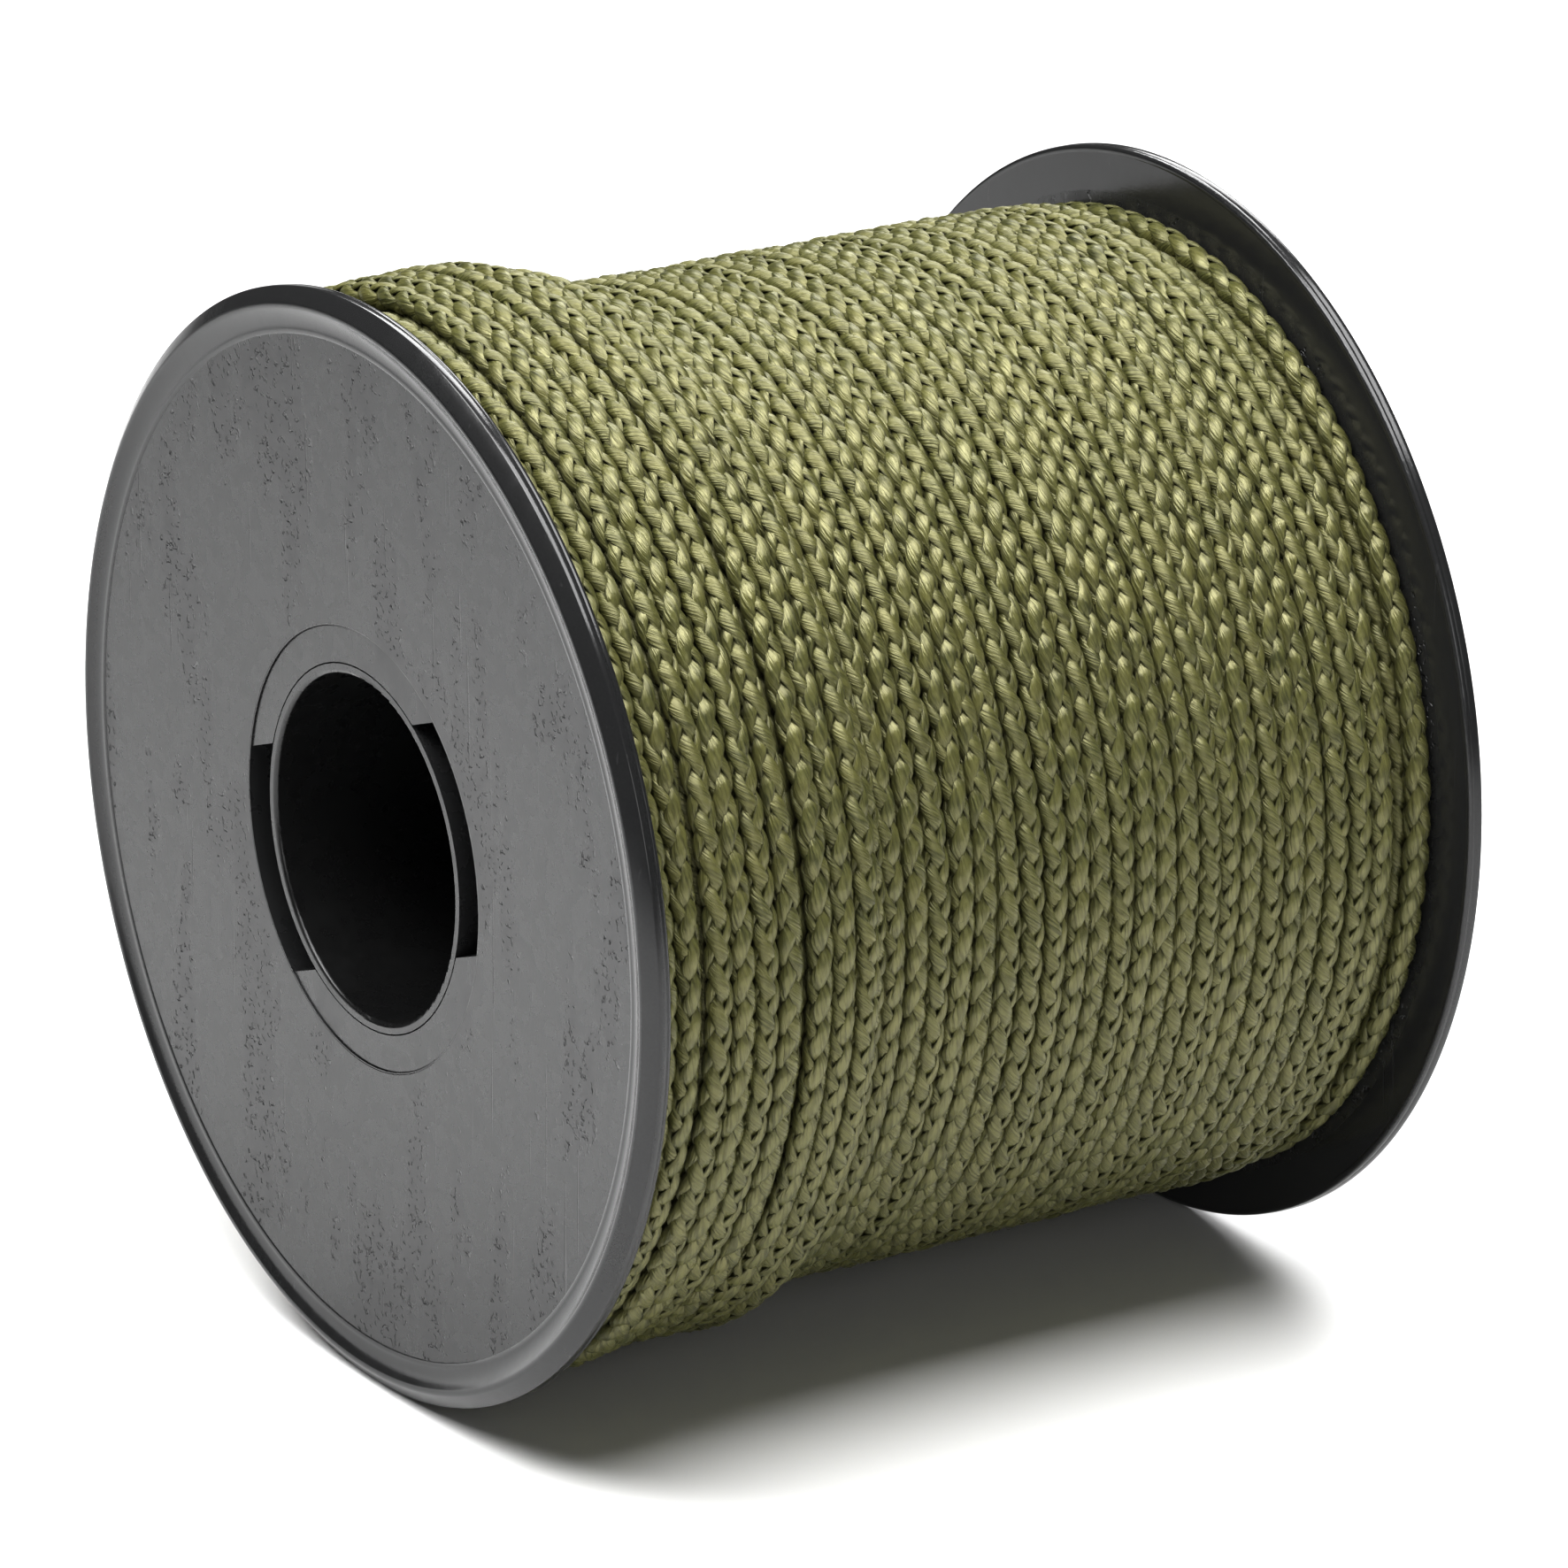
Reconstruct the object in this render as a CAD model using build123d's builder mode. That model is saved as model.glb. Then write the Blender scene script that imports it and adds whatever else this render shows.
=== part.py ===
# Braided cord on a two-part plastic spool. Units are millimetres.
# Frame: +Z up, spool axis along Y, origin at the centre of the bore at mid-width. The spool lies on its
# side, on the rims of both flanges, with the latch windows of the near flange towards -Y.
#
# The spool is two mouldings that snap together: drum_half is the near flange with the drum that carries
# the cord, core_half is the far flange with the thin tube that lines the bore. Latch beads on the tube
# sit behind the two windows in the near flange, in front of ledges on the drum wall.
import os
from math import cos, radians, sin, tan

from build123d import *

# Driving dimensions
flange_r = 40.0  # flange radius
half_width = 34.75  # half the overall width, over the rim crests
bore_r = 12.5  # spindle bore
drum_r = 17.5  # radius that the first layer of cord lies on
cord_d = 2.0  # braided cord
full_layers = 10  # layers that run from flange to flange
layer_pitch = 1.889  # radial step, a little under one cord because layers nest
top_turns = 9  # turns of the part layer beside the near flange

# Flange section
dish = 0.9  # how far the hub is set back from the rim crest
face_end_r = 36.9  # where the flat of the face meets the cove inside the rim
cove_depth = 0.52  # how far that place is set back from the rim crest
cove_angle = 30.0  # slope of the cove where it reaches the crest
crest_r = 38.75  # radius of the rim crest
crest_round = 0.45  # radius of its section
chamfer_angle = 35.0  # slope of the chamfer outside the crest
chamfer_r = 39.9  # outer end of the chamfer
chamfer_edge = 0.12  # small facet between the chamfer and the outside of the rim
inner_slope = 0.0373  # the inner face leans out by this much per millimetre of radius
flange_t = 1.75  # wall of the flange
edge_round = 0.3  # small radius on moulded edges

# Hub and latch
tube_wall = 0.75
tube_fit = 0.1  # radial gap between the tube and the near flange
drum_wall = 1.5
witness_step = 0.12  # step of the ring round the bore
window_half = 8.2  # half width of the band that cuts the windows
window_angle = 20.0  # direction of the band, above +X
ledge_reach = 1.0  # how far a ledge stands in from the drum wall
ledge_t = 1.5
ledge_depth = 5.2  # front of a ledge, behind the hub face
latch_gap = 0.1  # axial gap between a bead and its ledge
bead_ramp = 1.6  # sloped lead-in of a latch bead
bead_land = 0.5  # flat top of a latch bead
bead_clear = 0.06  # radial gap between bead and ledge, so that the halves can slide apart
collar_len = 4.0  # locating collar of the core half
collar_wall = 1.1
end_gap = 0.1  # between the drum's end and the far flange
layer_gap = 0.05  # between neighbouring layers of cord
winding_gap = 0.25  # between the winding and the far flange

# Derived
tube_r = bore_r + tube_wall
socket_r = tube_r + tube_fit
drum_in_r = drum_r - drum_wall
hub_y = half_width - dish
hub_ring_y = hub_y - witness_step
ledge_y = ledge_depth - hub_y  # front of the ledges
ledge_in_r = drum_in_r - ledge_reach
bead_r = ledge_in_r - bead_clear
bead_y = ledge_y - latch_gap  # back of the beads
bead_half = window_half - 2 * edge_round
collar_r = drum_in_r - tube_fit


def inner_y(r):
    """Distance from mid-width to the inner face of a flange at radius r."""
    return hub_y - flange_t + inner_slope * (r - drum_in_r)


def crest_point(angle):
    """Radius and depth of the crest's rounded section where it slopes outwards by the given angle."""
    slope = radians(angle)
    return crest_r + crest_round * sin(slope), crest_round * (1 - cos(slope))


def flange_section(side, hole_r):
    """Section of a dished flange with a raised rim, on the side of mid-width given by side."""
    crest_in_r, crest_in_depth = crest_point(-cove_angle)
    crest_out_r, crest_out_depth = crest_point(chamfer_angle)
    chamfer_depth = crest_out_depth + (chamfer_r - crest_out_r) * tan(radians(chamfer_angle))
    face_start = (drum_in_r, side * hub_y)
    face_end = (face_end_r, side * (half_width - cove_depth))
    face_way = (face_end_r - drum_in_r, side * (dish - cove_depth))
    cove_way = (cos(radians(cove_angle)), side * sin(radians(cove_angle)))
    crest_in = (crest_in_r, side * (half_width - crest_in_depth))
    crest = (crest_r, side * half_width)
    crest_out = (crest_out_r, side * (half_width - crest_out_depth))
    chamfer_end = (chamfer_r, side * (half_width - chamfer_depth))
    rim_front = (flange_r, side * (half_width - chamfer_depth - chamfer_edge))
    rim_back = (flange_r, side * (inner_y(flange_r) + edge_round))
    inner_edge = (flange_r - edge_round, side * inner_y(flange_r - edge_round))
    inner_root = (drum_in_r, side * inner_y(drum_in_r))
    hole_back = (hole_r, side * inner_y(drum_in_r))
    hole_front = (hole_r, side * hub_ring_y)
    ring_edge = (drum_in_r, side * hub_ring_y)
    with BuildSketch(Plane.XY) as section:
        with BuildLine():
            Polyline(ring_edge, face_start, face_end)
            Spline(face_end, crest_in, tangents=[face_way, cove_way])
            ThreePointArc(crest_in, crest, crest_out)
            Polyline(crest_out, chamfer_end, rim_front, rim_back)
            Spline(rim_back, inner_edge, tangents=[(0, -side), (-1, 0)])
            Polyline(inner_edge, inner_root, hole_back, hole_front, ring_edge)
        make_face()
    return section.sketch


def ring_section(points):
    """Closed outline of (radius, y) points."""
    with BuildSketch(Plane.XY) as section:
        with BuildLine():
            Polyline(*points, close=True)
        make_face()
    return section.sketch


def tube_section(r_in, r_out, y_from, y_to):
    """Section of a plain tube along Y."""
    return ring_section([(r_in, y_from), (r_out, y_from), (r_out, y_to), (r_in, y_to)])


def window_sketch(r_in, r_out, half, y):
    """The two parts of a ring that lie in the band of the windows, seen from -Y."""
    with BuildSketch(Plane.XZ.offset(-y)) as windows:
        Circle(r_out)
        Circle(r_in, mode=Mode.SUBTRACT)
        Rectangle(4 * r_out, 2 * half, rotation=window_angle, mode=Mode.INTERSECT)
    return windows.sketch


os.makedirs("parts", exist_ok=True)

# Near flange and drum. The windows cut the web between the socket and the drum wall.
with BuildPart() as drum_half:
    revolve(flange_section(-1, socket_r), axis=Axis.Y)
    drum_start = -hub_y + flange_t / 2
    revolve(tube_section(drum_in_r, drum_r, drum_start, inner_y(drum_in_r) - end_gap), axis=Axis.Y)
    extrude(
        window_sketch(socket_r - tube_fit, drum_in_r, window_half, -half_width),
        amount=-(dish + flange_t + edge_round),
        mode=Mode.SUBTRACT,
    )
    extrude(window_sketch(ledge_in_r, drum_in_r + drum_wall / 2, window_half, ledge_y), amount=-ledge_t)
drum_half.part.label = "drum_half"
export_step(drum_half.part, "parts/drum_half.step")

# The two latch beads: a ring with a sloped front, kept only in the band of the windows
with BuildPart() as latch_beads:
    bead_root_r = tube_r - tube_wall / 2
    ramp_start = bead_y - bead_land - bead_ramp
    revolve(
        ring_section(
            [
                (bead_root_r, bead_y),
                (bead_r, bead_y),
                (bead_r, bead_y - bead_land),
                (tube_r, ramp_start),
                (bead_root_r, ramp_start),
            ]
        ),
        axis=Axis.Y,
    )
    extrude(window_sketch(bore_r, drum_r, bead_half, 0), amount=half_width, mode=Mode.INTERSECT)

# Far flange with the bore tube, the beads and the collar that centres the drum
with BuildPart() as core_half:
    revolve(flange_section(1, bore_r), axis=Axis.Y)
    tube_end = hub_y - flange_t / 2
    collar_start = inner_y(drum_in_r) - collar_len
    revolve(tube_section(bore_r, tube_r, -hub_ring_y, tube_end), axis=Axis.Y)
    revolve(tube_section(collar_r - collar_wall, collar_r, collar_start, tube_end), axis=Axis.Y)
    add(latch_beads.part)
    bore_edges = core_half.edges().filter_by(GeomType.CIRCLE).filter_by(
        lambda edge: abs(edge.radius - bore_r) < tube_fit
    )
    fillet(bore_edges, edge_round)
core_half.part.label = "core_half"
export_step(core_half.part, "parts/core_half.step")


def layer_mid_r(layer):
    """Radius of the middle of a layer of cord, counting from 1 at the drum."""
    return drum_r + cord_d / 2 + (layer - 1) * layer_pitch


# The cord is one length wound in layers. Each layer is a node, so that a part-used spool can be shown.
half_layer = (layer_pitch - layer_gap) / 2
for layer in range(1, full_layers + 1):
    r_in = layer_mid_r(layer) - half_layer
    r_out = layer_mid_r(layer) + half_layer
    with BuildPart() as cord_layer:
        revolve(
            ring_section(
                [
                    (r_in, -inner_y(r_in)),
                    (r_out, -inner_y(r_out)),
                    (r_out, inner_y(r_out) - winding_gap),
                    (r_in, inner_y(r_in) - winding_gap),
                ]
            ),
            axis=Axis.Y,
        )
    cord_layer.part.label = f"cord_layer_{layer:02d}"
    export_step(cord_layer.part, f"parts/cord_layer_{layer:02d}.step")

# Part layer of turns beside the near flange
top_in_r = layer_mid_r(full_layers) + half_layer + layer_gap
top_out_r = top_in_r + cord_d
turns_end = top_turns * cord_d - inner_y(top_in_r)
with BuildPart() as cord_top_turns:
    revolve(
        ring_section(
            [
                (top_in_r, -inner_y(top_in_r)),
                (top_out_r, -inner_y(top_out_r)),
                (top_out_r, turns_end - cord_d / 2),
                (top_in_r, turns_end),
            ]
        ),
        axis=Axis.Y,
    )
cord_top_turns.part.label = "cord_top_turns"
export_step(cord_top_turns.part, "parts/cord_top_turns.step")
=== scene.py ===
import math

import bpy
import numpy as np
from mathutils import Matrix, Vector


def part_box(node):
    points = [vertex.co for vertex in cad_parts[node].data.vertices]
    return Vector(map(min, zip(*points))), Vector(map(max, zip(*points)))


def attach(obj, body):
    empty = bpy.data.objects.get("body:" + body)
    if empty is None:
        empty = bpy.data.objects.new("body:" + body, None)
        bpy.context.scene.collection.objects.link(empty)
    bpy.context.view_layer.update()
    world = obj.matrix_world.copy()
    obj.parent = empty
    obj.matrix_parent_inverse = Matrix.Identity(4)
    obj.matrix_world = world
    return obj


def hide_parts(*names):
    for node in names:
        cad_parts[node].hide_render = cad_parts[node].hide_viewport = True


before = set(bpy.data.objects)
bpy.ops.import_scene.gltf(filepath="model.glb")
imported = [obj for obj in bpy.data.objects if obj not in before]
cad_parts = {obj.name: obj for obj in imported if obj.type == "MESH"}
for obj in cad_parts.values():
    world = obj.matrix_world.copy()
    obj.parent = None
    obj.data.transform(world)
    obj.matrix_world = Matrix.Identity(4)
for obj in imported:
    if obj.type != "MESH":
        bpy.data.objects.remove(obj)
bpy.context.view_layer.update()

# The spool's axis is Y. Angles round it are measured from +X towards +Z, so 90 degrees is the top.
MM = 0.001
LAYERS = 10
TURNS = 34  # turns in a full layer
CORD_R = 0.96  # radius of the plain cord, and the room that a turn takes beside a flange, mm


def node_size(name):
    """(lowest y, highest y, outer radius) of a CAD node in mm."""
    low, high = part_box(name)
    return low.y / MM, high.y / MM, high.x / MM


layer_size = [node_size(f"cord_layer_{k:02d}") for k in range(1, LAYERS + 1)]
half_step = (layer_size[1][2] - layer_size[0][2]) / 2
layer_r = [size[2] - half_step for size in layer_size]  # nearly the middle of each layer
flange_r = node_size("core_half")[2]
floor_z = -flange_r * MM  # the spool lies on the rims of its flanges

# ---------------------------------------------------------------- camera
AZIMUTH, ELEVATION, DISTANCE = 57.679, 19.507, 0.68917  # degrees from -Y towards +X, degrees up, metres
FOCAL_LENGTH = 220.08  # mm
SHIFT_X, SHIFT_Y = 0.00918, -0.01322  # of the picture's width


def make_camera():
    """Camera that looks at the centre of the spool from three quarters."""
    azimuth, elevation = math.radians(AZIMUTH), math.radians(ELEVATION)
    back = Vector(
        (
            math.sin(azimuth) * math.cos(elevation),
            -math.cos(azimuth) * math.cos(elevation),
            math.sin(elevation),
        )
    )
    data = bpy.data.cameras.new("camera")
    data.lens = FOCAL_LENGTH
    data.sensor_width = 36.0
    data.shift_x = SHIFT_X
    data.shift_y = SHIFT_Y
    data.clip_start = 0.01
    data.clip_end = 50.0
    camera = bpy.data.objects.new("camera", data)
    camera.location = back * DISTANCE
    camera.rotation_mode = "QUATERNION"
    camera.rotation_quaternion = (-back).to_track_quat("-Z", "Y")
    bpy.context.scene.collection.objects.link(camera)
    bpy.context.scene.camera = camera


make_camera()


# ---------------------------------------------------------------- materials
class Nodes:
    """Short way to add nodes and links to one material."""

    def __init__(self, name):
        self.material = bpy.data.materials.new(name)
        self.material.use_nodes = True
        self.tree = self.material.node_tree
        self.tree.nodes.clear()
        self.output = self.tree.nodes.new("ShaderNodeOutputMaterial")
        self.shader = self.add("ShaderNodeBsdfPrincipled")
        self.link(self.shader.outputs[0], self.output.inputs["Surface"])

    def add(self, kind, **values):
        """New node; each value is set on the node itself or on its input of that name."""
        node = self.tree.nodes.new(kind)
        for key, value in values.items():
            if hasattr(node, key):
                setattr(node, key, value)
            else:
                node.inputs[key.replace("_", " ")].default_value = value
        return node

    def link(self, source, target):
        self.tree.links.new(source, target)

    def math(self, operation, a, b=None):
        """Result of a maths node; a and b are sockets or numbers."""
        node = self.add("ShaderNodeMath", operation=operation)
        for socket, value in zip(node.inputs, (a, b)):
            if value is None:
                continue
            if isinstance(value, (int, float)):
                socket.default_value = value
            else:
                self.link(value, socket)
        return node.outputs[0]

    def noise(self, vector, scale, detail=2.0, rough=0.5):
        node = self.add("ShaderNodeTexNoise", Scale=scale, Detail=detail, Roughness=rough)
        self.link(vector, node.inputs["Vector"])
        return node.outputs["Fac"]

    def spread(self, value, low, high, to_low=0.0, to_high=1.0):
        """Smooth change from to_low to to_high while value goes from low to high."""
        node = self.add("ShaderNodeMapRange", interpolation_type="SMOOTHSTEP")
        for key, number in zip(("From Min", "From Max", "To Min", "To Max"), (low, high, to_low, to_high)):
            node.inputs[key].default_value = number
        self.link(value, node.inputs["Value"])
        return node.outputs["Result"]

    def mix(self, factor, a, b):
        """Colour between a and b."""
        node = self.add("ShaderNodeMix", data_type="RGBA")
        for socket, value in ((node.inputs[0], factor), (node.inputs[6], a), (node.inputs[7], b)):
            if isinstance(value, bpy.types.NodeSocket):
                self.link(value, socket)
            else:
                socket.default_value = value
        return node.outputs[2]

    def bump(self, height, distance, strength):
        node = self.add("ShaderNodeBump", Strength=strength, Distance=distance)
        self.link(height, node.inputs["Height"])
        return node.outputs["Normal"]


STRAND_MIDDLE_V = 0.68  # v of the outer middle line of a strand, mm


def cord_material():
    """Olive braid: fine filaments cross each strand at a slant, with shade painted dark into the grooves and
    a warm shine.
    """
    n = Nodes("olive_braid")
    uv = n.add("ShaderNodeUVMap", uv_map="strand")
    parts = n.add("ShaderNodeSeparateXYZ")
    n.link(uv.outputs[0], parts.inputs[0])
    along, around = parts.outputs[0], parts.outputs[1]
    # u and v are in mm along and across a strand; the yarn is twisted, so its filaments lean
    leaned = n.math("SUBTRACT", around, n.math("MULTIPLY", along, 0.38))
    stretched = n.add("ShaderNodeCombineXYZ")
    n.link(n.math("MULTIPLY", along, 0.5), stretched.inputs[0])
    n.link(n.math("MULTIPLY", leaned, 8.0), stretched.inputs[1])
    filament = n.noise(stretched.outputs[0], 1.0, 2.0, 0.55)
    slow = n.add("ShaderNodeCombineXYZ")
    n.link(n.math("MULTIPLY", along, 0.3), slow.inputs[0])
    tone = n.noise(slow.outputs[0], 1.0, 2.0, 0.5)
    place = n.add("ShaderNodeTexCoord")
    cloud = n.noise(place.outputs["Object"], 90.0, 3.0, 0.55)

    dark = (0.021, 0.0245, 0.0078, 1.0)
    light = (0.096, 0.097, 0.036, 1.0)
    colour = n.mix(n.spread(filament, 0.36, 0.6), dark, light)
    colour = n.mix(n.spread(tone, 0.35, 0.65, 0.0, 0.45), colour, (0.125, 0.119, 0.039, 1.0))
    colour = n.mix(n.spread(cloud, 0.35, 0.7, 0.0, 0.25), colour, (0.05, 0.056, 0.016, 1.0))
    # painted shade: the colour darkens along a strand's edges, where it goes down between its neighbours and
    # lies in shade
    from_middle = n.math("ABSOLUTE", n.math("SUBTRACT", around, STRAND_MIDDLE_V))
    colour = n.mix(n.spread(from_middle, 0.36, 0.68, 0.0, 0.8), colour, (0.02, 0.023, 0.007, 1.0))
    n.link(colour, n.shader.inputs["Base Color"])
    n.shader.inputs["Base Color"].default_value = (0.06, 0.061, 0.022, 1.0)
    n.link(n.spread(filament, 0.3, 0.7, 0.46, 0.31), n.shader.inputs["Roughness"])
    n.shader.inputs["Roughness"].default_value = 0.39
    n.shader.inputs["IOR"].default_value = 1.55
    n.shader.inputs["Specular IOR Level"].default_value = 0.9
    n.shader.inputs["Specular Tint"].default_value = (1.0, 0.955, 0.63, 1.0)
    n.shader.inputs["Anisotropic"].default_value = 0.8
    n.shader.inputs["Anisotropic Rotation"].default_value = 0.32
    n.shader.inputs["Sheen Weight"].default_value = 0.02
    n.shader.inputs["Sheen Roughness"].default_value = 0.4
    n.shader.inputs["Sheen Tint"].default_value = (0.8, 0.78, 0.4, 1.0)
    tangent = n.add("ShaderNodeTangent", direction_type="UV_MAP", uv_map="strand")
    n.link(tangent.outputs[0], n.shader.inputs["Tangent"])
    n.link(n.bump(filament, 0.00018, 0.8), n.shader.inputs["Normal"])
    return n.material


def scratch_lines(n, point, turn, scale, low, high):
    """Thin lines in one direction, broken up along their length."""
    mapping = n.add("ShaderNodeMapping")
    mapping.inputs["Rotation"].default_value = (0.0, turn, 0.0)
    mapping.inputs["Scale"].default_value = (scale, scale, scale * 0.012)
    n.link(point, mapping.inputs["Vector"])
    return n.spread(n.noise(mapping.outputs[0], 1.0, 1.0, 0.5), low, high)


HUB_R, FACE_R = 0.0165, 0.0367  # the flat of a face lies between these radii, m
WITNESS_R = 0.01602  # witness line of the mould round the hub
BORE_R = 0.0127  # just outside the bore


def plastic_material():
    """Black moulded plastic with a satin face: clustered pits, faint turning arcs and fine scratches; shade
    is painted near black into the bore.
    """
    n = Nodes("black_moulded")
    place = n.add("ShaderNodeTexCoord")
    point = place.outputs["Object"]
    split = n.add("ShaderNodeSeparateXYZ")
    n.link(point, split.inputs[0])
    across, height_z = split.outputs[0], split.outputs[2]
    radius = n.math(
        "SQRT", n.math("ADD", n.math("MULTIPLY", across, across), n.math("MULTIPLY", height_z, height_z))
    )
    past_hub = n.spread(radius, HUB_R, HUB_R + 0.001)
    on_face = n.math("MULTIPLY", past_hub, n.spread(radius, FACE_R - 0.0003, FACE_R, 1.0, 0.0))
    satin = n.noise(point, 5200.0, 2.0, 0.6)
    ripple = n.noise(point, 700.0, 3.0, 0.55)
    flow = n.add("ShaderNodeMapping")
    flow.inputs["Scale"].default_value = (170.0, 60.0, 45.0)
    n.link(point, flow.inputs["Vector"])
    patches = n.spread(n.noise(flow.outputs[0], 1.0, 3.0, 0.6), 0.5, 0.6)
    pits = n.spread(n.noise(point, 2300.0, 1.0, 0.5), 0.6, 0.7)
    arc_place = n.add("ShaderNodeCombineXYZ")
    n.link(n.math("MULTIPLY", radius, 4200.0), arc_place.inputs[0])
    arcs = n.noise(arc_place.outputs[0], 1.0, 2.0, 0.6)
    scratches = n.math(
        "MAXIMUM",
        scratch_lines(n, point, 0.5, 2600.0, 0.735, 0.8),
        scratch_lines(n, point, -0.9, 2200.0, 0.745, 0.81),
    )
    from_witness = n.math("ABSOLUTE", n.math("SUBTRACT", radius, WITNESS_R))
    witness = n.spread(from_witness, 0.00004, 0.00011, 1.0, 0.0)
    height = n.math("ADD", n.math("MULTIPLY", ripple, 0.35), n.math("MULTIPLY", satin, 0.16))
    pits = n.math("MULTIPLY", n.math("MULTIPLY", pits, patches), on_face)
    height = n.math("ADD", height, n.math("MULTIPLY", pits, -7.0))
    height = n.math("ADD", height, n.math("MULTIPLY", witness, -2.5))
    height = n.math("ADD", height, n.math("MULTIPLY", arcs, 0.1))
    height = n.math("ADD", height, n.math("MULTIPLY", n.math("MULTIPLY", scratches, on_face), -0.9))
    rough = n.math("ADD", n.spread(ripple, 0.3, 0.7, 0.24, 0.31), n.math("MULTIPLY", patches, 0.05))
    # the rims come from a polished part of the mould
    rough = n.math("MULTIPLY", rough, n.spread(radius, FACE_R - 0.0001, FACE_R + 0.0001, 1.0, 0.6))
    n.link(rough, n.shader.inputs["Roughness"])
    n.shader.inputs["Roughness"].default_value = 0.29
    colour = n.mix(satin, (0.015, 0.0153, 0.0157, 1.0), (0.023, 0.0233, 0.0237, 1.0))
    colour = n.mix(n.math("MULTIPLY", scratches, 0.35), colour, (0.05, 0.05, 0.05, 1.0))
    # painted shade: the base colour inside the bore is darkened to near black
    colour = n.mix(n.spread(radius, BORE_R, BORE_R + 0.0002, 0.7, 0.0), colour, (0.004, 0.004, 0.004, 1.0))
    n.link(colour, n.shader.inputs["Base Color"])
    n.shader.inputs["Base Color"].default_value = (0.019, 0.0193, 0.0197, 1.0)
    n.shader.inputs["IOR"].default_value = 1.52
    n.link(n.bump(height, 0.00003, 0.8), n.shader.inputs["Normal"])
    return n.material


cord_finish = cord_material()
plastic_finish = plastic_material()
for name in ("drum_half", "core_half"):
    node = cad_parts[name]
    node.data.materials.clear()
    node.data.materials.append(plastic_finish)

# ---------------------------------------------------------------- the wound cord
LAY = 10.2  # mm of cord in which a strand goes once round it
STRANDS = 4  # strands in each direction
GRID_PER_MM = 1.2  # points on the cord's middle line where it is braided
PLAIN_PER_MM = 0.3  # and where it is plain
STEP_FROM, STEP_TO = math.radians(190), math.radians(262)  # where a turn steps over to the next place
CUT = math.radians(275)  # where one turn is counted as the next
rng = np.random.default_rng(7)


def inner_y(r):
    """Inner face of a flange at radius r, mm, from the sizes of the wound layers."""
    low, high = layer_size[0], layer_size[-1]
    share = (r - low[2]) / (high[2] - low[2])
    return -(low[0] + (high[0] - low[0]) * share)


TOP_TURNS = 9  # turns of the part layer
TOP_START, TOP_PITCH = -31.8, 1.9  # its first turn and its spacing, mm
TOP_SLITS = [(2, 0.25), (6, 0.5)]  # turns with a slit before them, and its width, mm
LOW_TURNS = 2  # its first turns, which lie lower
LOW_HEIGHT, TOP_HEIGHT = 1.35, 1.75  # how far its low and its other turns lie outside layer_r, mm
SLIT = 1.65  # room left beside the last turn of the outer layer, mm
UNEVEN = 0.055  # spread of the spacing in the outer layer, as a share of it
NESTED = 0.1  # how far the middle of a turn lies outside layer_r, mm


def outer_layer_places(last):
    """Middles of the turns of the outer layer, unevenly spaced; the last turn sits lower, past a slit."""
    steps = 1 + UNEVEN * np.random.default_rng(11).normal(size=TURNS - 2)
    pitch = (2 * last - SLIT) / (TURNS - 1)
    across = 2 * last - SLIT - pitch
    ys = np.concatenate([[0], np.cumsum(steps) * across / steps.sum(), [2 * last]]) - last
    rs = np.full(TURNS, layer_r[-1] + NESTED)
    rs[-1] -= 0.5
    rs[-2] -= 0.1
    return ys, rs


def top_turn_place(k):
    """Middle (y, radius) of turn k of the part layer, which has two slits; its first turns lie lower."""
    y = TOP_START + TOP_PITCH * k
    for turn, width in TOP_SLITS:
        y += width * (k >= turn)
    return y, layer_r[-1] + (LOW_HEIGHT if k < LOW_TURNS else TOP_HEIGHT)


def turn_places():
    """Middle (y, radius) of every turn from the drum outwards, in mm, in winding order."""
    turns = []
    for layer in range(LAYERS):
        # every other layer stops a little short of the flanges
        r = layer_r[layer] + NESTED
        last = inner_y(r) - CORD_R - (0.05 if layer % 2 else 0.55)
        ys, rs = np.linspace(-last, last, TURNS), np.full(TURNS, r)
        if layer == LAYERS - 1:
            ys, rs = outer_layer_places(last)
        if layer % 2:
            ys, rs = ys[::-1], rs[::-1]
        turns += list(zip(ys, rs))
    turns += [top_turn_place(k) for k in range(TOP_TURNS)]
    return np.array(turns)


places = turn_places()
TOTAL_TURNS = len(places)


def bump_at(value, centre, width):
    """Smooth bump of height 1."""
    return np.exp(-(((value - centre) / width) ** 2))


def lift(y, angle):
    """How far the outermost turns stand out where a tucked end or a crossing lies under them, mm.

    Each term is a height, a shape across the turns and a share of the way round.
    """
    degrees = np.degrees(angle)
    top = np.clip((degrees - 48) / 22, 0, 1) * np.clip((140 - degrees) / 15, 0, 1)
    back = np.clip((degrees - 70) / 25, 0, 1) * np.clip((150 - degrees) / 20, 0, 1)
    bottom = np.clip((degrees - 240) / 25, 0, 1) * np.clip((330 - degrees) / 25, 0, 1)
    hump = np.clip((y + 31.4) / 4.0, 0, 1) * np.clip((-15.0 - y) / 4.5, 0, 1)
    return (
        0.35 * bump_at(y, -20.8, 1.9) * top
        + 0.2 * bump_at(y, -25.0, 4.5) * top
        + hump * back
        - 0.45 * bump_at(y, -31.8, 2.0) * back
        + 0.6 * bump_at(y, -27.2, 1.9) * bottom
        - 0.2 * bump_at(y, -23.9, 1.0) * bottom
        + 0.3 * bump_at(y, -16.0, 1.2) * bottom
    )


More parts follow.
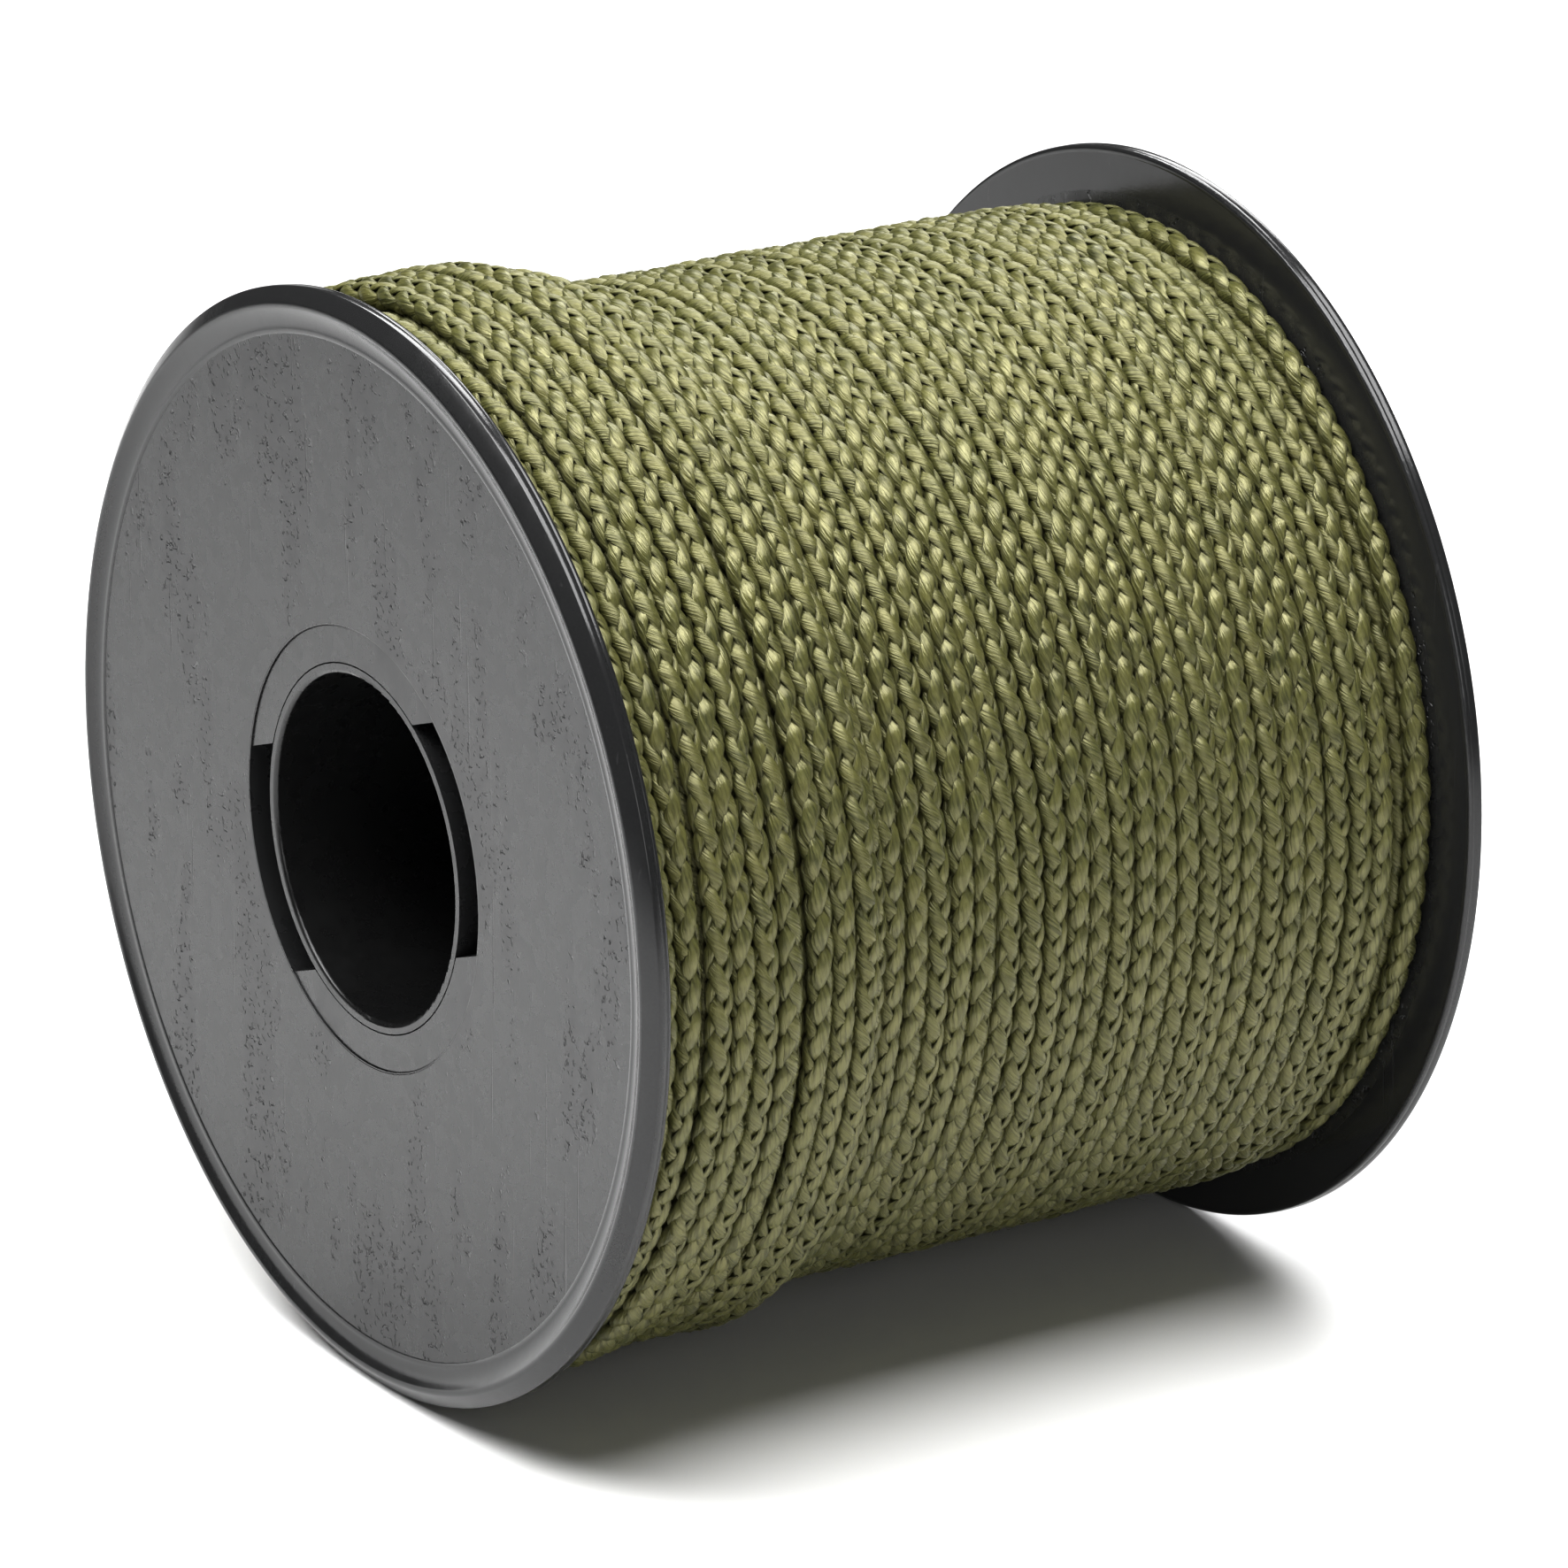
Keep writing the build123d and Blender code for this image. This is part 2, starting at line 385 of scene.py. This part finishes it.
TUCK_FROM, TUCK_TO = 0.56, 0.66  # where the last turn dives, as shares of it
TUCK_ASIDE, TUCK_DOWN = 1.1, 0.85  # how far it moves along the axis and inwards, mm
OVER_TUCK = 0.75  # how far the turn before it stands out there, mm
RIDE_UP = [(-13.9, 0.8), (-11.9, 0.35)]  # (y, height) of turns that ride up, mm
RIDE_WIDTH = 0.9  # mm
KNOTS = 14  # random knots round one turn
WANDER_Y, WANDER_R = 0.07, 0.06  # how far turns wander along the axis and outwards, mm
LIKE_LAST = 0.6  # how much a turn wanders like the turn before it
wander = rng.normal(size=(TOTAL_TURNS + 1, KNOTS, 2))
wander = (wander + LIKE_LAST * np.roll(wander, 1, axis=0)) / 1.17


def smooth_random(turn, share):
    """Smooth random (y, r) shifts for a place along the cord: turn number and share of that turn."""
    position = (turn + share) * KNOTS
    index = np.floor(position).astype(int)
    t = position - index
    t = t * t * (3 - 2 * t)
    flat = wander.reshape(-1, 2)
    limit = len(flat) - 1
    a = flat[np.clip(index, 0, limit)]
    b = flat[np.clip(index + 1, 0, limit)]
    return a + (b - a) * t[:, None]


def cord_line(first, last, per_mm):
    """Points, radial directions and lengths along the middle of the cord from turn first to turn last."""
    mean_r = places[int(first):int(math.ceil(last)), 1].mean()
    count = max(8, int((last - first) * 2 * math.pi * mean_r * per_mm))
    turn = np.linspace(first, last, count + 1)
    index = np.clip(np.floor(turn + 1e-9).astype(int), 0, TOTAL_TURNS - 1)
    share = turn - index
    angle = CUT + share * 2 * math.pi
    # the step to the next turn lies in the last part of the turn
    local = np.mod(angle, 2 * math.pi)
    step = np.clip((local - STEP_FROM) / (STEP_TO - STEP_FROM), 0, 1)
    step = np.where((local >= STEP_FROM) & (share > 0.5), step, 0)
    step = np.where(share > (STEP_TO + 2 * math.pi - CUT) / (2 * math.pi), 1, step)
    step = step * step * (3 - 2 * step)
    here = places[index]
    after = places[np.clip(index + 1, 0, TOTAL_TURNS - 1)]
    yr = here + (after - here) * step[:, None]
    shift = smooth_random(index, share)
    y = yr[:, 0] + WANDER_Y * shift[:, 0]
    r = yr[:, 1] + WANDER_R * shift[:, 1]
    outer = np.clip((yr[:, 1] - layer_r[-1] + 0.4) / 0.4, 0, 1)
    r = r + outer * lift(y, local)
    # the cord's end dives under the turn before it, behind the spool
    tuck = np.clip((share - TUCK_FROM) / (TUCK_TO - TUCK_FROM), 0, 1)
    tuck = (index == TOTAL_TURNS - 1) * tuck * tuck * (3 - 2 * tuck)
    y, r = y - TUCK_ASIDE * tuck, r - TUCK_DOWN * tuck
    r = r + (index == TOTAL_TURNS - 2) * OVER_TUCK * bump_at(share, TUCK_TO - 0.01, 0.06)
    # turns of the outer layer next to the part layer ride up against it
    single = (index >= (LAYERS - 1) * TURNS) & (index < LAYERS * TURNS)
    r = r + single * sum(height * bump_at(y, place, RIDE_WIDTH) for place, height in RIDE_UP)
    radial = np.stack([np.cos(local), np.zeros_like(local), np.sin(local)], axis=1)
    points = radial * r[:, None]
    points[:, 1] = y
    lengths = np.concatenate([[0], np.cumsum(np.linalg.norm(np.diff(points, axis=0), axis=1))])
    return points, radial, lengths


turn_length = 2 * math.pi * places[:, 1]
start_length = np.concatenate([[0], np.cumsum(turn_length)])  # about 60 m at the end


def length_at(turn):
    """Length of cord from its start to a place given in turns, mm."""
    return np.interp(turn, np.arange(TOTAL_TURNS + 1), start_length)


def frame_along(points, radial):
    """Outward and sideways directions across the cord."""
    tangent = np.gradient(points, axis=0)
    tangent /= np.linalg.norm(tangent, axis=1)[:, None]
    out = radial - tangent * np.sum(radial * tangent, axis=1)[:, None]
    out /= np.linalg.norm(out, axis=1)[:, None]
    side = np.cross(tangent, out)
    return out, side


class MeshParts:
    """Collects tubes of quads with end caps, and makes one mesh object of them."""

    def __init__(self):
        self.verts, self.loops, self.sizes, self.uvs = [], [], [], []
        self.count = 0

    def tube(self, rings, u, v):
        """Adds a tube; rings[i, j] are its points.

        u[i] and v[j] are their places along and around, and v has one more for the seam.
        """
        n, m = rings.shape[:2]
        base = self.count
        self.verts.append(rings.reshape(-1, 3))
        index = base + np.arange(n * m).reshape(n, m)
        a = index[:-1]
        b = np.roll(a, -1, axis=1)
        c = np.roll(index[1:], -1, axis=1)
        d = index[1:]
        self.loops.append(np.stack([a, b, c, d], axis=-1).reshape(-1))
        self.sizes.append(np.full((n - 1) * m, 4))
        u_low = np.broadcast_to(u[:-1, None], (n - 1, m))
        u_high = np.broadcast_to(u[1:, None], (n - 1, m))
        v_low = np.broadcast_to(v[None, :-1], (n - 1, m))
        v_high = np.broadcast_to(v[None, 1:], (n - 1, m))
        corner_u = np.stack([u_low, u_low, u_high, u_high], axis=-1)
        corner_v = np.stack([v_low, v_high, v_high, v_low], axis=-1)
        self.uvs.append(np.stack([corner_u, corner_v], axis=-1).reshape(-1, 2))
        self.count += n * m
        for ring, order, at in ((rings[0], slice(None, None, -1), u[0]), (rings[-1], slice(None), u[-1])):
            self.verts.append(ring)
            self.loops.append((self.count + np.arange(m))[order])
            self.sizes.append(np.array([m]))
            self.uvs.append(np.stack([np.full(m, at), v[:-1]], axis=1))
            self.count += m

    def object(self, name, material):
        """Mesh object of all the tubes, in metres."""
        verts = np.concatenate(self.verts) * MM
        loops = np.concatenate(self.loops)
        sizes = np.concatenate(self.sizes)
        uvs = np.concatenate(self.uvs)
        mesh = bpy.data.meshes.new(name)
        mesh.vertices.add(len(verts))
        mesh.vertices.foreach_set("co", verts.astype(np.float32).ravel())
        mesh.loops.add(len(loops))
        mesh.loops.foreach_set("vertex_index", loops.astype(np.int32))
        mesh.polygons.add(len(sizes))
        starts = np.concatenate([[0], np.cumsum(sizes)[:-1]])
        mesh.polygons.foreach_set("loop_start", starts.astype(np.int32))
        mesh.polygons.foreach_set("use_smooth", np.ones(len(sizes), bool))
        layer = mesh.uv_layers.new(name="strand")
        layer.uv.foreach_set("vector", uvs.astype(np.float32).ravel())
        mesh.update(calc_edges=True)
        mesh.materials.append(material)
        made = bpy.data.objects.new(name, mesh)
        bpy.context.scene.collection.objects.link(made)
        return made


# Section of one strand: a flat lens, denser on the outer side
SECTION = np.radians([0, 28, 58, 90, 122, 152, 180, 270])
STRAND_R = 0.58  # middle of the strands' paths
WEAVE = 0.215  # how far they go over and under
WAVE = LAY / 2  # mm of cord from one passage over to the next
STEEP = 1.5  # how suddenly they dive
RING_PHASES = np.radians([0, 34, 62, 88, 118, 180, 242, 272, 298, 326])  # close where a strand dives
CORE_R = 0.5  # the core yarn
HALF_WIDE, WIDER_OVER = 0.52, 0.17  # half width of a strand under the others, and how much it gains over them
HALF_THICK, THICKER_OVER = 0.17, 0.035  # the same for its half thickness
UNEVEN_STRANDS = 0.03  # how far one passage over stands out more than another
section_t = np.cos(SECTION)
section_h = np.sin(SECTION)
# places round the strand, mm: seven across its outer side, then over its inner side to the seam
outer_v = np.linspace(0, 2 * STRAND_MIDDLE_V, 7)
section_v = np.concatenate([outer_v, [3 * STRAND_MIDDLE_V, 4 * STRAND_MIDDLE_V]])


def twist_of(length):
    """Slow turning of the braid about its own line, radians."""
    return 0.5 * np.sin(length / 41.0 + 0.7) + 0.35 * np.sin(length / 17.3) + length / 260.0


def ring_places(start, end, offset):
    """Places of the rings of one strand, mm of cord, from start to end."""
    waves = np.arange(math.floor(start / WAVE) - 2, math.ceil(end / WAVE) + 3)
    at = (waves[:, None] * WAVE + (RING_PHASES[None, :] / (2 * math.pi)) * WAVE).ravel() - offset
    at = np.sort(at[(at > start + 0.12) & (at < end - 0.12)])
    return np.concatenate([[start], at, [end]])


def sample(places_at, grid, rows):
    """Rows given at the grid lengths, at other lengths."""
    return np.stack([np.interp(places_at, grid, rows[:, axis]) for axis in range(3)], axis=1)


def add_braid(parts, first, last):
    """Eight strands plaited two over two, and a core yarn, from turn first to turn last."""
    points, radial, lengths = cord_line(first, last, GRID_PER_MM)
    out, side = frame_along(points, radial)
    start, end = length_at(first), length_at(last)
    grid = start + lengths * (end - start) / lengths[-1]
    for way in (1, -1):
        for k in range(STRANDS):
            shift = (k - 0.25 + (way < 0)) * math.pi
            s = ring_places(start, end, way * shift * WAVE / (2 * math.pi))
            phi = way * 2 * math.pi * s / LAY + k * 2 * math.pi / STRANDS
            weave = np.tanh(STEEP * np.cos(way * 2 * math.pi * s / WAVE + shift)) / math.tanh(STEEP)
            over = (1 + weave) / 2
            path_r = STRAND_R + WEAVE * weave + UNEVEN_STRANDS * np.sin(0.83 * s + 2.3 * k + way) * over
            half_wide = HALF_WIDE + WIDER_OVER * over
            half_thick = HALF_THICK + THICKER_OVER * over
            a = phi[:, None] + half_wide[:, None] * section_t[None, :] / path_r[:, None]
            a = a + twist_of(s)[:, None]
            r = path_r[:, None] + half_thick[:, None] * section_h[None, :]
            ring = (
                sample(s, grid, points)[:, None, :]
                + (r * np.cos(a))[:, :, None] * sample(s, grid, out)[:, None, :]
                + (r * np.sin(a))[:, :, None] * sample(s, grid, side)[:, None, :]
            )
            offset = 37.0 * k + (19.0 if way < 0 else 0.0)  # no two strands have the same filaments
            parts.tube(ring, s * 1.03 + offset, section_v)
    core_angle = np.linspace(0, 2 * math.pi, 6, endpoint=False)
    thin = slice(None, None, 3)  # the core needs fewer points
    core_points, core_out, core_side = points[thin], out[thin], side[thin]
    ring = (
        core_points[:, None, :]
        + CORE_R * np.cos(core_angle)[None, :, None] * core_out[:, None, :]
        + CORE_R * np.sin(core_angle)[None, :, None] * core_side[:, None, :]
    )
    parts.tube(ring, grid[thin], STRAND_MIDDLE_V + np.linspace(-0.3, 0.3, 7))


def add_plain(parts, first, last):
    """The cord as a plain round, for turns that lie inside the winding."""
    points, radial, lengths = cord_line(first, last, PLAIN_PER_MM)
    out, side = frame_along(points, radial)
    s = lengths + length_at(first)
    angle = np.linspace(0, 2 * math.pi, 8, endpoint=False)
    ring = (
        points[:, None, :]
        + CORD_R * np.cos(angle)[None, :, None] * out[:, None, :]
        + CORD_R * np.sin(angle)[None, :, None] * side[:, None, :]
    )
    parts.tube(ring, s, np.linspace(0, 6.0, 9))


def finish_piece(parts, name, cad_node):
    """Makes a piece of the cord that takes the place of a CAD node."""
    piece = parts.object(name, cord_finish)
    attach(piece, "drum")
    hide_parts(cad_node)


TURNS_PER_PIECE = 2
CORD_END = TOTAL_TURNS - 1 + TUCK_TO + 0.02  # in turns, just past the place where the end has dived
for layer in range(LAYERS - 1):
    parts = MeshParts()
    first = layer * TURNS
    far_end = first + (0 if layer % 2 else TURNS - 1)  # the turn beside the far flange
    if far_end > first:
        add_plain(parts, first, far_end)
    add_braid(parts, far_end, far_end + 1)
    if far_end == first:
        add_plain(parts, far_end + 1, first + TURNS)
    finish_piece(parts, f"cord_layer_{layer + 1:02d}_turns", f"cord_layer_{layer + 1:02d}")

for group, start in enumerate(range((LAYERS - 1) * TURNS, LAYERS * TURNS, TURNS_PER_PIECE)):
    parts = MeshParts()
    add_braid(parts, start, min(start + TURNS_PER_PIECE, LAYERS * TURNS))
    finish_piece(parts, f"outer_turns_{group + 1:02d}", "cord_layer_10")

for group, start in enumerate(range(LAYERS * TURNS, TOTAL_TURNS, TURNS_PER_PIECE)):
    parts = MeshParts()
    add_braid(parts, start, min(start + TURNS_PER_PIECE, CORD_END))
    finish_piece(parts, f"top_turns_{group + 1:02d}", "cord_top_turns")


FILAMENT_R = 0.014  # mm
FILAMENTS = 420
# worn patches: y in mm, degrees round the axis, and the spread of both
FUZZ_PATCHES = [(18.0, 44, 3.5, 12), (-14.5, 72, 3.0, 12), (8.0, 20, 9.0, 50), (-25.0, 60, 4.0, 40)]


def add_fuzz(parts, count):
    """Loose filaments that stand out of the outer turns, most of them in a few worn patches."""
    for number in range(count):
        y, degrees, wide, turn_wide = FUZZ_PATCHES[number % len(FUZZ_PATCHES)]
        y, angle = rng.normal(y, wide), math.radians(rng.normal(degrees, turn_wide))
        if number % 3 == 0:
            y, angle = rng.uniform(-31, 29), rng.uniform(0, 2 * math.pi)
        if y > 28.5 or y < -30.5:
            continue
        part_layer = y < top_turn_place(TOP_TURNS - 1)[0]
        r = layer_r[-1] + (2.2 if part_layer else 0.55)
        length = rng.uniform(0.9, 2.6)
        heading = rng.uniform(0, 2 * math.pi)
        rise = rng.uniform(0.25, 0.75)
        t = np.linspace(0, 1, 6)
        forward = length * t * math.cos(heading) + 0.25 * length * np.sin(4.0 * t + heading) * t
        sideways = length * t * math.sin(heading) + 0.3 * length * t * t * rng.normal()
        height = r + rise * np.sin(math.pi * 0.62 * t) + 0.3 * t
        turned = angle + forward / r
        line = np.stack([height * np.cos(turned), y + sideways, height * np.sin(turned)], axis=1)
        radial = np.stack([np.cos(turned), np.zeros(6), np.sin(turned)], axis=1)
        out, side = frame_along(line, radial)
        thick = FILAMENT_R * (1.1 - 0.6 * t)
        around = np.radians([90, 210, 330])
        ring = (
            line[:, None, :]
            + (thick[:, None] * np.sin(around)[None, :])[:, :, None] * out[:, None, :]
            + (thick[:, None] * np.cos(around)[None, :])[:, :, None] * side[:, None, :]
        )
        parts.tube(ring, t * length, STRAND_MIDDLE_V + np.linspace(-0.05, 0.05, 4))


fuzz = MeshParts()
add_fuzz(fuzz, FILAMENTS)
finish_piece(fuzz, "loose_filaments", "cord_layer_10")


# ---------------------------------------------------------------- rims of the flanges
# The section of a rim is in (radius, depth behind the plane of the crests), mm
COVE_START, COVE_DEPTH = 37.12, 0.462  # foot of the cove inside the crest
COVE_POWER = 1.9  # how late the cove turns up
CREST_R, CREST_ROUND = 38.74, 0.5  # middle of the crest and radius of its section
CREST_STANDS = 0.02  # how far the crest is proud of the CAD rim
CREST_FROM, CREST_TO = math.radians(-31), math.radians(35)  # slopes at its two ends
RIM_R = flange_r + 0.015  # a little outside the CAD rim, which it covers
EDGE_ROUND, BACK_ROUND = 0.15, 0.3  # radii of its front and back edges


def arc(centre, radius, start, end, count):
    """Points of an arc; angles are in degrees from outwards towards the back of the flange."""
    a = np.radians(np.linspace(start, end, count))
    return np.column_stack([centre[0] + radius * np.cos(a), centre[1] + radius * np.sin(a)])


def rim_profile():
    """Closed section of a rim, from its small step on the face round to the back."""
    step = [(36.6, 0.56), (36.68, 0.515), (36.78, 0.446), (37.05, 0.452)]
    slope = np.linspace(CREST_FROM, CREST_TO, 9)
    crest = np.column_stack(
        [CREST_R + CREST_ROUND * np.sin(slope), CREST_ROUND * (1 - np.cos(slope)) - CREST_STANDS]
    )
    t = np.linspace(0, 1, 9)[:-1]
    cove = np.column_stack(
        [
            COVE_START + (crest[0, 0] - COVE_START) * t,
            COVE_DEPTH + (crest[0, 1] - COVE_DEPTH) * t**COVE_POWER,
        ]
    )
    edge = arc((RIM_R - EDGE_ROUND, 0.86), EDGE_ROUND, -55, 0, 4)
    seam = [(RIM_R, 1.3), (39.96, 1.37), (39.96, 1.4), (flange_r, 1.44)]
    back = arc((flange_r - BACK_ROUND, 1.485), BACK_ROUND, 0, 90, 5)
    inside = [(39.3, 1.76), (38.6, 1.2), (37.4, 0.95)]
    return np.concatenate([step, cove, crest, edge, seam, back, inside])


RIM_SEGMENTS = 540


def rim_ring(name, side, body, half_width):
    """Turned ring that covers the rim of one flange; the flange itself fills it."""
    profile = rim_profile()
    angle = np.linspace(0, 2 * math.pi, RIM_SEGMENTS, endpoint=False)
    y = side * (half_width - profile[:, 1])
    verts = np.stack(
        [
            np.cos(angle)[:, None] * profile[None, :, 0],
            np.broadcast_to(y[None, :], (len(angle), len(y))),
            np.sin(angle)[:, None] * profile[None, :, 0],
        ],
        axis=-1,
    ).reshape(-1, 3) * MM
    index = np.arange(len(verts)).reshape(len(angle), len(profile))
    after = np.roll(index, -1, axis=0)
    corners = [index, np.roll(index, -1, axis=1), np.roll(after, -1, axis=1), after]
    faces = np.stack(corners, axis=-1).reshape(-1, 4)
    if side > 0:
        faces = faces[:, ::-1]
    mesh = bpy.data.meshes.new(name)
    mesh.from_pydata(verts.tolist(), [], faces.tolist())
    mesh.polygons.foreach_set("use_smooth", np.ones(len(faces), bool))
    mesh.materials.append(plastic_finish)
    ring = bpy.data.objects.new(name, mesh)
    bpy.context.scene.collection.objects.link(ring)
    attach(ring, body)


rim_ring("near_rim", -1, "drum", -node_size("drum_half")[0])
rim_ring("far_rim", 1, "core", node_size("core_half")[1])


# ---------------------------------------------------------------- floor and light
def make_floor():
    """Plain white table top, 12 m wide."""
    half = 6.0
    mesh = bpy.data.meshes.new("floor")
    mesh.from_pydata(
        [(-half, -half, floor_z), (half, -half, floor_z), (half, half, floor_z), (-half, half, floor_z)],
        [],
        [(0, 1, 2, 3)],
    )
    n = Nodes("floor_paper")
    n.shader.inputs["Base Color"].default_value = (0.9, 0.9, 0.9, 1.0)
    n.shader.inputs["Roughness"].default_value = 0.8
    mesh.materials.append(n.material)
    floor = bpy.data.objects.new("floor", mesh)
    bpy.context.scene.collection.objects.link(floor)


def softbox(name, place, aim, width, height, power):
    """White area light at place, turned towards aim; metres and watts."""
    data = bpy.data.lights.new(name, "AREA")
    data.shape = "RECTANGLE"
    data.size = width
    data.size_y = height
    data.energy = power
    lamp = bpy.data.objects.new(name, data)
    lamp.location = place
    lamp.rotation_mode = "QUATERNION"
    lamp.rotation_quaternion = (Vector(aim) - Vector(place)).to_track_quat("-Z", "Y")
    bpy.context.scene.collection.objects.link(lamp)


def set_world():
    """Faint even light from all round."""
    world = bpy.data.worlds.new("studio")
    world.use_nodes = True
    background = world.node_tree.nodes["Background"]
    background.inputs["Color"].default_value = (1.0, 1.0, 1.0, 1.0)
    background.inputs["Strength"].default_value = 0.07
    bpy.context.scene.world = world


make_floor()
softbox("key", (0.1, 0.0, 0.36), (0, 0, 0), 0.4, 0.28, 3.2)
softbox("fill", (-0.06, -0.24, 0.34), (-0.01, -0.06, floor_z), 0.26, 0.22, 1.9)
softbox("front", (0.5, -0.14, 0.16), (0.02, 0, floor_z), 0.3, 0.2, 0.5)
softbox("background", (-0.75, 0.6, 0.7), (-0.36, 0.24, floor_z), 0.7, 0.5, 9.0)
set_world()
bpy.context.scene.view_settings.view_transform = "Standard"
bpy.context.scene.view_settings.look = "None"
bpy.context.scene.view_settings.gamma = 0.82  # the contrast of a product picture
